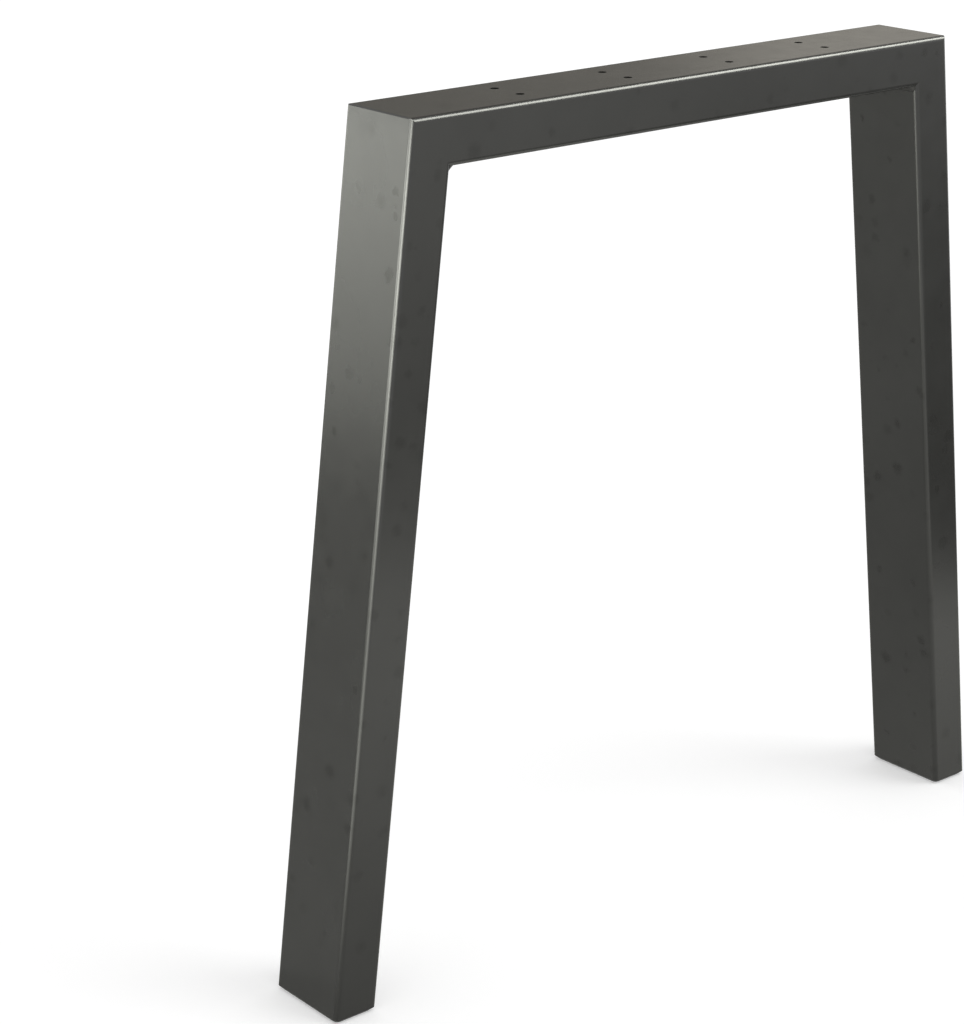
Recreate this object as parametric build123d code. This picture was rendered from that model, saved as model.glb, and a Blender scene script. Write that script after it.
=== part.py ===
from build123d import *
import os
from math import atan2, cos, pi, sin, tan

# Driving dimensions, in millimetres
overall_height = 710  # floor to the face that carries the table top
top_width = 575  # across the crossbar, over its two outer mitre edges
floor_width = 745  # across the feet, with the legs' outer faces run on to the floor

# Rectangular steel tube, the same for the crossbar and both legs
tube_depth = 80  # across the frame
tube_face = 40  # in the plane of the frame
tube_wall = 2
tube_edge_radius = 4  # outside radius of the long edges
least_corner_radius = 0.5  # tightest corner that is drawn inside a thick wall

# Welded corners
ground_edge_radius = 1.2  # outer mitre edge, dressed with a grinder
weld_leg = 4.5  # bead in the inner corner, measured along either tube
weld_hollow = 0.5  # how far the bead's face dips below flat

# Holes for the table top's screws, and the driver's way in beneath each of them
screw_hole_diameter = 7
driver_hole_diameter = 15
screw_pitch = 110
screw_columns = 4
screw_row_spacing = 30
screw_rows = 2

# Moulded plug that closes each leg's open end
cap_rim_height = 0.8  # straight edge of the plate, flush with the tube
cap_shoulder_height = 3.2  # sloped edge below it, down to the floor
cap_shoulder_run = 3.4  # how far that slope runs in under the foot
cap_plug_height = 24  # plug inside the tube
cap_plug_wall = 2
cap_fin_count = 4
cap_fin_thickness = 1.2
cap_fin_reach = 2.5  # how far the grip fins stand out from the plug
cap_fin_clearance = 0.2  # between the fins and the tube

# The right leg's slant, and the two corners of its mitre
slant = atan2((floor_width - top_width) / 2, overall_height)
across = Vector(0, 1, 0)
towards_middle = Vector(-1, 0, 0)
down_the_leg = Vector(sin(slant), 0, -cos(slant))
out_of_the_leg = Vector(cos(slant), 0, sin(slant))
half_corner = (pi / 2 + slant) / 2
mitre_direction = (towards_middle + down_the_leg).normalized()
outer_corner = Vector(top_width / 2, 0, overall_height)
inner_corner = outer_corner + mitre_direction * (tube_face / sin(half_corner))
mitre_plane = Plane(outer_corner, x_dir=across, z_dir=mitre_direction.cross(across))

# The tube's level cut at the foot, which the cap's plate fills in below
cut_height = cap_shoulder_height + cap_rim_height

# Where each blank starts: it is one tube face too long at both ends, before it is sawn
saw_allowance = tube_face
leg_top = outer_corner - out_of_the_leg * (tube_face / 2) - down_the_leg * saw_allowance
leg_plane = Plane(leg_top, x_dir=across, z_dir=down_the_leg)
leg_blank = overall_height / cos(slant) + 2 * saw_allowance
crossbar_middle = Vector(0, 0, overall_height - tube_face / 2)
crossbar_plane = Plane(crossbar_middle, x_dir=across, z_dir=(1, 0, 0))
crossbar_half_blank = top_width / 2 + saw_allowance


def tube_outline(inset):
    """The tube's rounded outline, drawn a given distance inside its outer faces."""
    radius = max(tube_edge_radius - inset, least_corner_radius)
    return RectangleRounded(tube_depth - 2 * inset, tube_face - 2 * inset, radius)


def tube_section():
    return tube_outline(0) - tube_outline(tube_wall)


def along_leg(section, low, high):
    """A section run down the right leg's axis and cut level at two heights."""
    bar = extrude(leg_plane * section, leg_blank)
    bar = split(bar, Plane.XY.offset(low), Keep.TOP)
    return split(bar, Plane.XY.offset(high), Keep.BOTTOM)


def in_frame_plane(vector):
    """A point of the frame's middle plane as flat coordinates."""
    return (vector.X, vector.Z)


def ground_edge():
    """What the grinder takes off the right outer mitre edge, over the whole depth."""
    setback = ground_edge_radius / tan(half_corner)
    centre = outer_corner + mitre_direction * (ground_edge_radius / sin(half_corner))
    on_top = outer_corner + towards_middle * setback
    on_side = outer_corner + down_the_leg * setback
    upwards = Vector(0, 0, 1)
    corners = [
        on_top,
        on_side,
        on_side + out_of_the_leg * setback,
        outer_corner + (out_of_the_leg + upwards) * setback,
        on_top + upwards * setback,
    ]
    waste = Polygon(*[in_frame_plane(corner) for corner in corners])
    waste -= Pos(*in_frame_plane(centre)) * Circle(ground_edge_radius)
    return extrude(Plane.XZ * waste, tube_depth, both=True)


def drilled(tube):
    """Screw holes in the upper wall, and a wider hole under each in the lower wall."""
    drill = 2 * tube_wall
    upper_wall = overall_height - tube_wall / 2
    lower_wall = overall_height - tube_face + tube_wall / 2
    for place in GridLocations(screw_pitch, screw_row_spacing, screw_columns, screw_rows):
        tube -= place * Pos(0, 0, upper_wall) * Cylinder(screw_hole_diameter / 2, drill)
        tube -= place * Pos(0, 0, lower_wall) * Cylinder(driver_hole_diameter / 2, drill)
    return tube


def crossbar():
    """Sawn and ground at one end, turned round for the same at the other end, then drilled."""
    tube = extrude(crossbar_plane * tube_section(), crossbar_half_blank, both=True)
    for end in ("right", "left"):
        tube = split(tube, mitre_plane, Keep.BOTTOM) - ground_edge()
        tube = mirror(tube, Plane.YZ)
    return drilled(tube)


def leg():
    tube = along_leg(tube_section(), cut_height, overall_height + saw_allowance)
    return split(tube, mitre_plane, Keep.TOP) - ground_edge()


def corner_weld():
    """Hollow-faced bead along the flat width of the right inner corner."""
    on_bar = inner_corner + towards_middle * weld_leg
    on_leg = inner_corner + down_the_leg * weld_leg
    face_middle = (on_bar + on_leg) / 2 - mitre_direction * weld_hollow
    root, start, middle, end = [
        in_frame_plane(point) for point in (inner_corner, on_bar, face_middle, on_leg)
    ]
    bead = make_face(Line(root, start) + ThreePointArc(start, middle, end) + Line(end, root))
    return extrude(Plane.XZ * bead, tube_depth / 2 - tube_edge_radius, both=True)


def cap_plate():
    """Plate under the tube: a straight rim, then a shoulder that slopes in to the floor."""
    rim = along_leg(tube_outline(0), cap_shoulder_height, cut_height)
    foot_middle = floor_width / 2 - tube_face / cos(slant) / 2
    foot_length = tube_face / cos(slant) - 2 * cap_shoulder_run
    foot_depth = tube_depth - 2 * cap_shoulder_run
    footprint = Pos(foot_middle, 0) * RectangleRounded(foot_length, foot_depth, tube_edge_radius)
    return rim + loft([footprint.face(), rim.faces().sort_by(Axis.Z)[0]])


def cap_plug():
    """Hollow plug with grip fins, which follows the tube's slant."""
    fin_edge = tube_wall + cap_fin_clearance
    outside = tube_outline(fin_edge + cap_fin_reach)
    inside = tube_outline(fin_edge + cap_fin_reach + cap_plug_wall)
    plug = along_leg(outside - inside, cut_height, cut_height + cap_plug_height)
    for fin in range(1, cap_fin_count + 1):
        top = cut_height + cap_plug_height * fin / cap_fin_count
        plug += along_leg(tube_outline(fin_edge) - inside, top - cap_fin_thickness, top)
    return plug


def foot_cap():
    return cap_plate() + cap_plug()


right_pieces = {"leg": leg(), "foot_cap": foot_cap(), "corner_weld": corner_weld()}

os.makedirs("parts", exist_ok=True)
export_step(crossbar(), "parts/crossbar.step")
for name, piece in right_pieces.items():
    export_step(piece, f"parts/right_{name}.step")
    export_step(mirror(piece, Plane.YZ), f"parts/left_{name}.step")
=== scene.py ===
import random
from math import cos, pi, radians, sin

import bmesh
import bpy
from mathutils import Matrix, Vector


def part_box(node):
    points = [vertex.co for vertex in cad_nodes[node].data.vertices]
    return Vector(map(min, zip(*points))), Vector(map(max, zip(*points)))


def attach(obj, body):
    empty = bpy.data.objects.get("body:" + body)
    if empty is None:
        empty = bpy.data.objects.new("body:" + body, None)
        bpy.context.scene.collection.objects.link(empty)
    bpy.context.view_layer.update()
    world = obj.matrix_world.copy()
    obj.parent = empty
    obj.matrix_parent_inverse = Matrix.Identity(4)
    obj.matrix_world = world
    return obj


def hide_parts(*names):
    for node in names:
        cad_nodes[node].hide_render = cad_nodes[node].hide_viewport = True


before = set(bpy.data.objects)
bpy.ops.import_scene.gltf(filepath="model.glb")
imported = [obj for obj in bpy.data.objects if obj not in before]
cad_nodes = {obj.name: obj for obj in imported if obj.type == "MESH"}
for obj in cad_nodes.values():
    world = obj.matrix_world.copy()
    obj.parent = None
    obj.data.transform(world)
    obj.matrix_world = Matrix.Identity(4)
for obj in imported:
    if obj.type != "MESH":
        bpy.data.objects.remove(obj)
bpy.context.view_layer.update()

scene = bpy.context.scene
scene.view_settings.view_transform = "Standard"

mm = 0.001
white = (1, 1, 1, 1)

# Camera, from the frame's straight edges in the photograph
camera_place = Vector((-1.4821, -1.5662, 1.0867))
camera_turn = radians(-39.526)  # from looking along +Y
camera_drop = radians(19.249)
level_tilt = radians(90)  # a camera's own tilt when it looks level
image_height_px = 1024
focal_length_px = 2713.0
sensor_height_mm = 36

# Floor and room
floor_half_width = 14
floor_white = 0.8  # share of the light that the floor sends back
floor_lift = 0.33  # glow that brings the lit floor up to white where it is seen
room_light = 0.8  # strength of the white room as a light

# Key lamp and tints: a heading of 0 is +X and 90 is +Y, and a rise is above the horizon, in degrees
key_heading = -50
key_rise = 48
key_softness = 32
key_strength = 0.6
softbox_tint = (0.985, 1, 0.915)
floor_tint = (0.985, 0.985, 0.925)
flag_tint = (1, 0.95, 0.85)

# Upright cards: distances and heights in metres, headings in degrees, and tones with white as 1
softbox_distance = 1.6
side_softbox_headings = (109, 147)
side_softbox_tones = ((0.265, 1.95), (0.38, 2.2), (0.5, 3.1), (0.7, 6.6))
top_softbox_distance = 2.5
top_softbox_headings = (-57, -9)
top_softbox_tones = ((1.75, 8), (2.1, 14), (3.4, 15))
back_flag_distance = 3
back_flag_heights = (0, 2.4, 2.9, 6)
back_flag_headings = (80, 55, 47.2, 42.6, 39, 10)
back_flag_tones = (0.26, 0.28, 0.34, 0.65, 0.68, 0.68)
back_flag_top_tone = 0.25

# A heading and three tones in each row, dimmer where the left leg's side would mirror it straight on
edge_softbox_heights = (0, 0.25, 0.7)
edge_softbox_tones = (
    (152, 0.8, 1.4, 8),
    (160, 1.9, 3.4, 17),
    (169, 2.2, 3.9, 20),
    (174, 1.7, 3.2, 11),
    (186, 1.7, 3.2, 11),
    (190, 3.6, 6, 30),
    (204, 3.6, 6, 28),
    (222, 1.5, 2.8, 6),
)

# Floor tones seen in the finish, in metres ahead of the frame and to its right as the camera looks
front_floor_lift = 2 * mm
front_floor_rights = (-0.35, 0.84, 0.86, 2.4, 5)
front_floor_tones = (
    (-1.2, 0.99, 1.95, 0.65, 1.3, 1.5),
    (-0.6, 0.69, 1.65, 0.40, 0.95, 1.3),
    (-0.25, 0.50, 1.45, 0.25, 0.43, 0.8),
    (0, 0.45, 1.27, 0.17, 0.23, 0.5),
    (0.6, 0.60, 0.90, 0.04, 0.2, 0.4),
)

# The same behind the frame and to its left: a tone at each X, between two places along Y
back_floor_lift = 1.5 * mm
back_floor_reach = (0, 6)
back_floor_tones = ((-6, 0.3), (-1.9, 0.35), (-1.5, 0.58), (-1, 0.66), (-0.4, 0.63), (0.6, 0.6))
left_floor_lift = 2.5 * mm
left_floor_reach = (-0.95, 0.05)
left_floor_tones = ((-1.6, 4.5), (-1.25, 4.3), (-0.85, 2.9), (-0.55, 0.7))

# Shared effects
patch_contrast = (0.28, 0.72)  # the part of the noise that is spread over the patches
noise_middle = (0.5, 0.5, 0.5)
mark_waves = 1.2  # waves of a mark's outline in one radius
mark_waver_detail = 2
mark_sizes = (0.5, 1.3)  # smallest and largest mark, in radii
mark_core = 0.3  # share of a mark that is full before its edge softens
mark_strengths = (0.25, 1)  # faintest and strongest mark
grain_detail = 1

# Satin steel, as linear colours and metres
steel_dark = (0.0208, 0.0210, 0.0193)
steel_light = (0.0266, 0.0268, 0.0247)
steel_roughness = (0.23, 0.27)
steel_cloud_size = 70 * mm
steel_haze_size = 18 * mm
steel_wave_size = 28 * mm
steel_wave_depth = 0.03 * mm
steel_grain_size = 0.6 * mm
steel_grain_depth = 0.003 * mm
stain_colour = (0.015, 0.0147, 0.0134)
stain_spacing = 23 * mm
stain_radius = 7 * mm
stain_darkness = 0.2
stain_bareness = 0.34  # how far a stain takes the lacquer's shine away

# Lacquered weld
weld_brown = (0.017, 0.0158, 0.0138)
weld_grey = (0.030, 0.0292, 0.0268)
weld_roughness = (0.30, 0.44)
weld_cloud_size = 3.5 * mm
weld_grain_size = 0.5 * mm
weld_grain_depth = 0.03 * mm

# Foot cap plastic
plastic_black = (0.0115, 0.0115, 0.0109)
plastic_scuffed = (0.030, 0.0298, 0.028)
plastic_roughness = (0.48, 0.62)
plastic_cloud_size = 5 * mm
plastic_grain_size = 0.4 * mm
plastic_grain_depth = 0.02 * mm
scuff_heights = (0.2 * mm, 2.5 * mm)  # scuffed in full below the first, not at all above the second

# Rippled weld beads
ripple_pitch = 1.6 * mm
ripple_height = 0.28 * mm
ripple_unevenness = (0.6, 1.3)  # lowest and highest ripple, in ripple heights
ripple_lead = 0.45  # how far the middle of a ripple runs ahead of its ends, in pitches
sections_per_ripple = 6
bead_face_steps = 8
bead_hollow = 0.5 * mm
bead_wrap = 0.7  # how far the bead's ends go round the tube's edges, in edge radii
bead_end_taper = 2.2 * mm
bead_end_size = 0.45  # share of the bead's section that is left at its ends
at_root = -1  # marks the one point of the section that lies in the corner itself

# The right inner corner, from the plain weld there: the left bead is the mirror image
weld_low, weld_high = [Vector(corner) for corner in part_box("right_corner_weld")]
weld_width = weld_high.x - weld_low.x
weld_height = weld_high.z - weld_low.z
weld_leg = (weld_width ** 2 + weld_height ** 2) / (2 * weld_width)
corner_root = Vector((weld_low.x + weld_leg, 0, weld_high.z))
bar_edge = Vector((weld_low.x, 0, weld_high.z))
leg_edge = Vector((weld_high.x, 0, weld_low.z))
into_corner = (corner_root - (bar_edge + leg_edge) / 2).normalized()
half_corner_sine = (bar_edge - leg_edge).length / 2 / weld_leg
flat_half_width = weld_high.y
tube_edge_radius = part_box("crossbar")[1][1] - flat_half_width
bead_half_length = flat_half_width + bead_wrap * tube_edge_radius
ripple_count = int(2 * bead_half_length / ripple_pitch + ripple_lead) + 1


def facing(heading, rise):
    """Unit vector towards a heading and rise given in degrees."""
    turn = radians(heading)
    tilt = radians(rise)
    return Vector((cos(turn) * cos(tilt), sin(turn) * cos(tilt), sin(tilt)))


def add_object(name, shape):
    """A mesh object made from a finished bmesh."""
    mesh = bpy.data.meshes.new(name)
    shape.to_mesh(mesh)
    shape.free()
    made = bpy.data.objects.new(name, mesh)
    scene.collection.objects.link(made)
    return made


# Shader nodes

def feed(tree, sockets, values):
    """Gives each socket its value: a number, a vector, a colour or another node's output."""
    for socket, value in zip(sockets, values):
        if isinstance(value, bpy.types.NodeSocket):
            tree.links.new(value, socket)
        else:
            socket.default_value = value


def maths(tree, operation, first, second):
    """What a Math node makes of two numbers."""
    node = tree.nodes.new("ShaderNodeMath")
    node.operation = operation
    feed(tree, node.inputs, (first, second))
    return node.outputs[0]


def vector_maths(tree, operation, first, second):
    """What a Vector Math node makes of two vectors."""
    node = tree.nodes.new("ShaderNodeVectorMath")
    node.operation = operation
    feed(tree, node.inputs, (first, second))
    return node.outputs["Vector"]


def ramp(tree, value, before, after, smooth=False):
    """A value carried from one range to another, and held at its ends."""
    node = tree.nodes.new("ShaderNodeMapRange")
    if smooth:
        node.interpolation_type = "SMOOTHSTEP"
    feed(tree, node.inputs, (value, *before, *after))
    return node.outputs["Result"]


def noise(tree, place, scale, detail):
    """The outputs of a noise texture."""
    node = tree.nodes.new("ShaderNodeTexNoise")
    sockets = [node.inputs[name] for name in ("Vector", "Scale", "Detail")]
    feed(tree, sockets, (place, scale, detail))
    return node.outputs


def seen_directly(tree):
    """1 for rays that look at or mirror a surface, 0 for rays that only carry light."""
    path = tree.nodes.new("ShaderNodeLightPath")
    seen = path.outputs["Is Camera Ray"]
    for ray in ("Is Glossy Ray", "Is Transmission Ray"):
        seen = maths(tree, "MAXIMUM", seen, path.outputs[ray])
    return seen


# Camera

def add_camera():
    """The photograph's own view."""
    data = bpy.data.cameras.new("photo_camera")
    data.sensor_fit = "VERTICAL"
    data.sensor_height = sensor_height_mm
    data.lens = focal_length_px / image_height_px * sensor_height_mm
    camera = bpy.data.objects.new("photo_camera", data)
    camera.location = camera_place
    camera.rotation_euler = (level_tilt - camera_drop, 0, camera_turn)
    scene.collection.objects.link(camera)
    scene.camera = camera


# Light

def light_room():
    """An even white room: white where it is seen, dimmer as a light."""
    world = bpy.data.worlds.new("white_room")
    scene.world = world
    world.use_nodes = True
    tree = world.node_tree
    background = tree.nodes["Background"]
    background.inputs["Color"].default_value = white
    level = ramp(tree, seen_directly(tree), (0, 1), (room_light, 1))
    tree.links.new(level, background.inputs["Strength"])


def add_key():
    """A broad lamp from the right, which gives the feet their soft shadow."""
    data = bpy.data.lights.new("key", "SUN")
    data.angle = radians(key_softness)
    data.energy = key_strength
    key = bpy.data.objects.new("key", data)
    key.rotation_euler = (-facing(key_heading, key_rise)).to_track_quat("-Z", "Y").to_euler()
    key.visible_camera = False
    scene.collection.objects.link(key)


def add_floor():
    """A pale floor that takes the soft shadows and is white round them."""
    shape = bmesh.new()
    bmesh.ops.create_grid(shape, x_segments=1, y_segments=1, size=floor_half_width)
    floor = add_object("floor", shape)
    material = bpy.data.materials.new("white_floor")
    material.use_nodes = True
    tree = material.node_tree
    shader = tree.nodes["Principled BSDF"]
    shader.inputs["Base Color"].default_value = (floor_white, floor_white, floor_white, 1)
    shader.inputs["Roughness"].default_value = 1
    shader.inputs["Specular IOR Level"].default_value = 0
    shader.inputs["Emission Color"].default_value = white
    lift = maths(tree, "MULTIPLY", seen_directly(tree), floor_lift)
    tree.links.new(lift, shader.inputs["Emission Strength"])
    floor.data.materials.append(material)


# Cards: soft boxes and grey flags that show only as reflections in the finish

def card_glow():
    """Glow that follows the tone given at a card's corners."""
    material = bpy.data.materials.new("card_glow")
    material.use_nodes = True
    tree = material.node_tree
    tree.nodes.remove(tree.nodes["Principled BSDF"])
    tone = tree.nodes.new("ShaderNodeVertexColor")
    tone.layer_name = "tone"
    glow = tree.nodes.new("ShaderNodeEmission")
    tree.links.new(tone.outputs["Color"], glow.inputs["Color"])
    tree.links.new(glow.outputs["Emission"], tree.nodes["Material Output"].inputs["Surface"])
    return material


def add_card(name, grid, tint, finish):
    """A card drawn as a grid: rows of corners, each with a place and a tone."""
    shape = bmesh.new()
    tone_layer = shape.verts.layers.float_color.new("tone")
    bmesh.ops.create_grid(shape, x_segments=len(grid[0]) - 1, y_segments=len(grid) - 1, size=1)
    corners = [corner for row in grid for corner in row]
    for vert, (place, tone) in zip(shape.verts, corners):
        vert.co = place
        vert[tone_layer] = [tone * part for part in tint] + [1]
    card = add_object(name, shape)
    card.data.materials.append(finish)
    card.visible_camera = False
    card.visible_diffuse = False
    card.visible_transmission = False
    card.visible_volume_scatter = False
    card.visible_shadow = False


def upright(heading, distance, height):
    """A place at a heading, a distance from the frame's middle and a height."""
    return facing(heading, 0) * distance + Vector((0, 0, height))


def upright_rows(tones, headings, distance):
    """Level rows of an upright card, each at a height and with one tone."""
    grid = []
    for height, tone in tones:
        grid.append([(upright(heading, distance, height), tone) for heading in headings])
    return grid


def on_floor(ahead, right, lift):
    """A place just above the floor, ahead of the frame and to its right as the camera looks."""
    x = right * cos(camera_turn) - ahead * sin(camera_turn)
    y = right * sin(camera_turn) + ahead * cos(camera_turn)
    return Vector((x, y, lift))


def floor_rows(tones, reach, lift):
    """Rows of a card that lies along Y just above the floor, each at an X and with one tone."""
    grid = []
    for x, tone in tones:
        grid.append([(Vector((x, y, lift)), tone) for y in reach])
    return grid


def side_softbox(glow):
    """Lights the left leg's side, brighter towards its top."""
    grid = upright_rows(side_softbox_tones, side_softbox_headings, softbox_distance)
    add_card("side_softbox", grid, softbox_tint, glow)


def edge_softbox(glow):
    """Draws the bright line down the left leg's front edge."""
    grid = []
    for heading, *tones in edge_softbox_tones:
        places = [upright(heading, softbox_distance, height) for height in edge_softbox_heights]
        grid.append(list(zip(places, tones)))
    add_card("edge_softbox", grid, softbox_tint, glow)


def top_softbox(glow):
    """Draws the bright line along the crossbar's upper front edge."""
    grid = upright_rows(top_softbox_tones, top_softbox_headings, top_softbox_distance)
    add_card("top_softbox", grid, softbox_tint, glow)


def back_flag(glow):
    """Darkens the crossbar's upper face, most of all at its left end."""
    grid = []
    for heading, tone in zip(back_flag_headings, back_flag_tones):
        places = [upright(heading, back_flag_distance, height) for height in back_flag_heights]
        grid.append(list(zip(places, (tone, tone, back_flag_top_tone, back_flag_top_tone))))
    add_card("back_flag", grid, flag_tint, glow)


def front_floor(glow):
    """Shades the front faces, with a step where the lit floor ends."""
    grid = []
    for ahead, *tones in front_floor_tones:
        places = [on_floor(ahead, right, front_floor_lift) for right in front_floor_rights]
        grid.append(list(zip(places, tones)))
    add_card("front_floor", grid, floor_tint, glow)


def back_floor(glow):
    """Shades the lower part of the faces that look left."""
    grid = floor_rows(back_floor_tones, back_floor_reach, back_floor_lift)
    add_card("back_floor", grid, floor_tint, glow)


def left_floor(glow):
    """Carries the bright line of the left leg's front edge on towards the floor."""
    grid = floor_rows(left_floor_tones, left_floor_reach, left_floor_lift)
    add_card("left_floor", grid, softbox_tint, glow)


# Effects that the finishes share

def new_group(name, inputs, output):
    """A node group with a place and named numbers going in, and one number coming out."""
    tree = bpy.data.node_groups.new(name, "ShaderNodeTree")
    tree.interface.new_socket("Place", in_out="INPUT", socket_type="NodeSocketVector")
    for socket in inputs:
        tree.interface.new_socket(socket, in_out="INPUT", socket_type="NodeSocketFloat")
    tree.interface.new_socket(output, in_out="OUTPUT", socket_type="NodeSocketFloat")
    given = tree.nodes.new("NodeGroupInput").outputs
    result = tree.nodes.new("NodeGroupOutput").inputs
    return tree, given, result


def cloudy_patches():
    """Soft uneven patches of a given size, from 0 to 1."""
    tree, given, result = new_group("cloudy_patches", ("Size", "Detail"), "Amount")
    scale = maths(tree, "DIVIDE", 1, given["Size"])
    cloud = noise(tree, given["Place"], scale, given["Detail"])["Fac"]
    tree.links.new(ramp(tree, cloud, patch_contrast, (0, 1)), result["Amount"])
    return tree


def wavering(tree, place, radius):
    """A place pushed about by less than a radius, which makes round marks wavy."""
    scale = maths(tree, "DIVIDE", mark_waves, radius)
    push = noise(tree, place, scale, mark_waver_detail)["Color"]
    centred = vector_maths(tree, "SUBTRACT", push, noise_middle)
    return vector_maths(tree, "ADD", place, vector_maths(tree, "MULTIPLY", centred, radius))


def round_marks():
    """Scattered soft-edged round marks with wavy outlines, of a given spacing and radius."""
    tree, given, result = new_group("round_marks", ("Spacing", "Radius"), "Amount")
    cells = tree.nodes.new("ShaderNodeTexVoronoi")
    scale = maths(tree, "DIVIDE", 1, given["Spacing"])
    place = wavering(tree, given["Place"], given["Radius"])
    feed(tree, (cells.inputs["Vector"], cells.inputs["Scale"]), (place, scale))
    chance = tree.nodes.new("ShaderNodeSeparateColor")
    tree.links.new(cells.outputs["Color"], chance.inputs["Color"])
    size = ramp(tree, chance.outputs["Red"], (0, 1), mark_sizes)
    reach = maths(tree, "MULTIPLY", given["Radius"], size)
    distance = maths(tree, "MULTIPLY", cells.outputs["Distance"], given["Spacing"])
    spot = ramp(tree, maths(tree, "DIVIDE", distance, reach), (mark_core, 1), (1, 0), smooth=True)
    strength = ramp(tree, chance.outputs["Green"], (0, 1), mark_strengths)
    tree.links.new(maths(tree, "MULTIPLY", spot, strength), result["Amount"])
    return tree


def fine_grain():
    """Close grain of a given size, as a height from 0 to 1."""
    tree, given, result = new_group("fine_grain", ("Size",), "Height")
    scale = maths(tree, "DIVIDE", 1, given["Size"])
    tree.links.new(noise(tree, given["Place"], scale, grain_detail)["Fac"], result["Height"])
    return tree


# Finishes

def new_material(name):
    """A material, its node tree, its shader and the place on the piece."""
    material = bpy.data.materials.new(name)
    material.use_nodes = True
    tree = material.node_tree
    coordinates = tree.nodes.new("ShaderNodeTexCoord")
    return material, tree, tree.nodes["Principled BSDF"], coordinates.outputs["Object"]


def effect(tree, group, place, **values):
    """A group placed in a material with its own values."""
    node = tree.nodes.new("ShaderNodeGroup")
    node.node_tree = group
    tree.links.new(place, node.inputs["Place"])
    for name, value in values.items():
        node.inputs[name.capitalize()].default_value = value
    return node.outputs[0]


def blended(tree, amount, first, second):
    """One colour going over into another: each is a colour or another node's output."""
    node = tree.nodes.new("ShaderNodeMix")
    node.data_type = "RGBA"
    tree.links.new(amount, node.inputs["Factor"])
    sockets = [socket for socket in node.inputs if socket.type == "RGBA"]
    colours = [(*colour, 1) if isinstance(colour, tuple) else colour for colour in (first, second)]
    feed(tree, sockets, colours)
    return next(socket for socket in node.outputs if socket.type == "RGBA")


def roughen(tree, height, depth, under=None):
    """A bump of a given depth, laid over another one if there is one."""
    bump = tree.nodes.new("ShaderNodeBump")
    bump.inputs["Distance"].default_value = depth
    tree.links.new(height, bump.inputs["Height"])
    if under is not None:
        tree.links.new(under, bump.inputs["Normal"])
    return bump.outputs["Normal"]


def coat(tree, shader, colour, roughness, normal):
    """Gives a shader its colour, its roughness and its surface."""
    sockets = [shader.inputs[name] for name in ("Base Color", "Roughness", "Normal")]
    feed(tree, sockets, (colour, roughness, normal))


def satin_steel(patches, marks, grain):
    """Dark rolled steel under satin lacquer: cloudy tone, slight waves, and dull round stains."""
    material, tree, shader, place = new_material("satin_steel")
    cloud = effect(tree, patches, place, size=steel_cloud_size, detail=3)
    haze = effect(tree, patches, place, size=steel_haze_size, detail=4)
    wave = effect(tree, patches, place, size=steel_wave_size, detail=1)
    close = effect(tree, grain, place, size=steel_grain_size)
    stain = effect(tree, marks, place, spacing=stain_spacing, radius=stain_radius)
    tone = blended(tree, cloud, steel_dark, steel_light)
    darkened = maths(tree, "MULTIPLY", stain, stain_darkness)
    bared = maths(tree, "MULTIPLY", stain, stain_bareness)
    colour = blended(tree, darkened, tone, stain_colour)
    roughness = ramp(tree, haze, (0, 1), steel_roughness)
    normal = roughen(tree, close, steel_grain_depth, roughen(tree, wave, steel_wave_depth))
    coat(tree, shader, colour, roughness, normal)
    tree.links.new(bared, shader.inputs["Metallic"])
    return material


def weld_finish(patches, grain):
    """Lacquered bead, browner and duller than the tube."""
    material, tree, shader, place = new_material("weld_bead")
    cloud = effect(tree, patches, place, size=weld_cloud_size, detail=3)
    close = effect(tree, grain, place, size=weld_grain_size)
    colour = blended(tree, cloud, weld_brown, weld_grey)
    roughness = ramp(tree, cloud, (0, 1), weld_roughness)
    coat(tree, shader, colour, roughness, roughen(tree, close, weld_grain_depth))
    return material


def foot_cap_plastic(patches, grain):
    """Fine matte moulding, scuffed a little paler towards the floor."""
    material, tree, shader, place = new_material("foot_cap_plastic")
    cloud = effect(tree, patches, place, size=plastic_cloud_size, detail=4)
    close = effect(tree, grain, place, size=plastic_grain_size)
    height = tree.nodes.new("ShaderNodeSeparateXYZ")
    tree.links.new(place, height.inputs["Vector"])
    low = ramp(tree, height.outputs["Z"], scuff_heights, (1, 0))
    scuff = maths(tree, "MULTIPLY", low, cloud)
    colour = blended(tree, scuff, plastic_black, plastic_scuffed)
    roughness = ramp(tree, cloud, (0, 1), plastic_roughness)
    coat(tree, shader, colour, roughness, roughen(tree, close, plastic_grain_depth))
    return material


def give(node_names, material):
    """Puts a finish on pieces that keep their own shape."""
    for name in node_names:
        for slot in cad_nodes[name].material_slots:
            slot.material = material


# Weld beads

def crown(across):
    """0 at either edge of the bead's face, and 1 half way between them."""
    return 4 * across * (1 - across)


def ripple(across, along, heights):
    """How high the crescent ripples stand at a point of the bead's face."""
    turns = (along + bead_half_length) / ripple_pitch + ripple_lead * crown(across)
    return heights[int(turns)] * abs(sin(pi * turns))


def fall_back(along):
    """How the corner itself falls back where the tube's edges are rounded."""
    past = max(0, abs(along) - flat_half_width)
    fall = tube_edge_radius - (tube_edge_radius ** 2 - past ** 2) ** 0.5
    return into_corner * (fall / half_corner_sine)


def taper(along):
    """Share of the bead's section at a place along it, which shrinks near its ends."""
    from_end = (bead_half_length - abs(along)) / bead_end_taper
    return bead_end_size + (1 - bead_end_size) * min(1, from_end) ** 0.5


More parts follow.
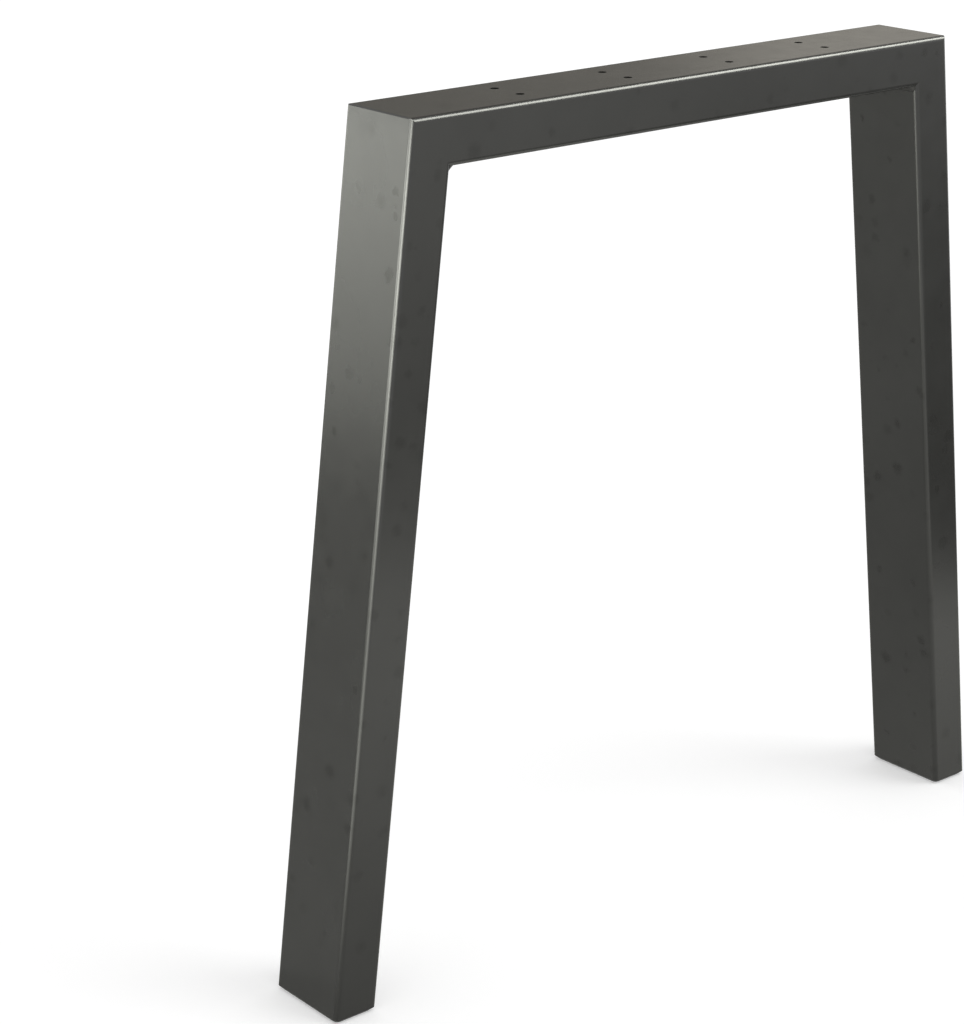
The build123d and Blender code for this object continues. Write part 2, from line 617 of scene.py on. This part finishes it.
def bead_point(across, along, heights):
    """A point of the bead: across runs over its face from bar to leg, and along down its length."""
    from_root = Vector((0, 0, 0))
    if across != at_root:
        flat = bar_edge.lerp(leg_edge, across)
        inwards = (corner_root - flat).normalized()
        dip = (bead_hollow - ripple(across, along, heights)) * crown(across)
        from_root = flat + inwards * dip - corner_root
    root = Vector((corner_root.x, along, corner_root.z))
    return root + from_root * taper(along) + fall_back(along)


def bead_end(shape, across_layer, heights):
    """The section at the bead's first end, whose points know their place across it."""
    outline = []
    for across in [at_root] + [step / bead_face_steps for step in range(bead_face_steps + 1)]:
        vert = shape.verts.new(bead_point(across, -bead_half_length, heights))
        vert[across_layer] = across
        outline.append(vert)
    return shape.faces.new(outline)


def run_bead(shape, section, across_layer, heights):
    """Draws the end section out along the bead in short steps, and leaves no face inside."""
    steps = round(2 * bead_half_length / ripple_pitch * sections_per_ripple)
    for step in range(1, steps + 1):
        along = bead_half_length * (2 * step / steps - 1)
        grown = bmesh.ops.extrude_face_region(shape, geom=[section])["geom"]
        passed = section
        section = next(part for part in grown if isinstance(part, bmesh.types.BMFace))
        for vert in section.verts:
            vert.co = bead_point(vert[across_layer], along, heights)
        if step > 1:
            bmesh.ops.delete(shape, geom=[passed], context="FACES_ONLY")


def add_bead(side, finish):
    """A hollow-faced bead with the crescent ripples of a hand weld, in one inner corner."""
    draw = random.Random(side)
    heights = [ripple_height * draw.uniform(*ripple_unevenness) for _ in range(ripple_count)]
    shape = bmesh.new()
    across_layer = shape.verts.layers.float.new("across")
    section = bead_end(shape, across_layer, heights)
    run_bead(shape, section, across_layer, heights)
    if side == "left":
        bmesh.ops.scale(shape, vec=(-1, 1, 1), verts=shape.verts)
    bmesh.ops.recalc_face_normals(shape, faces=shape.faces)
    for face in shape.faces:
        face.smooth = True
    bead = add_object(f"{side}_weld_bead", shape)
    bead.data.materials.append(finish)
    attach(bead, "root")
    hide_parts(f"{side}_corner_weld")


add_camera()
light_room()
add_key()
add_floor()
glow = card_glow()
for add in (side_softbox, edge_softbox, top_softbox, back_flag, front_floor, back_floor, left_floor):
    add(glow)
patches = cloudy_patches()
marks = round_marks()
grain = fine_grain()
weld = weld_finish(patches, grain)
give(("crossbar", "left_leg", "right_leg"), satin_steel(patches, marks, grain))
give(("left_corner_weld", "right_corner_weld"), weld)
give(("left_foot_cap", "right_foot_cap"), foot_cap_plastic(patches, grain))
for side in ("left", "right"):
    add_bead(side, weld)
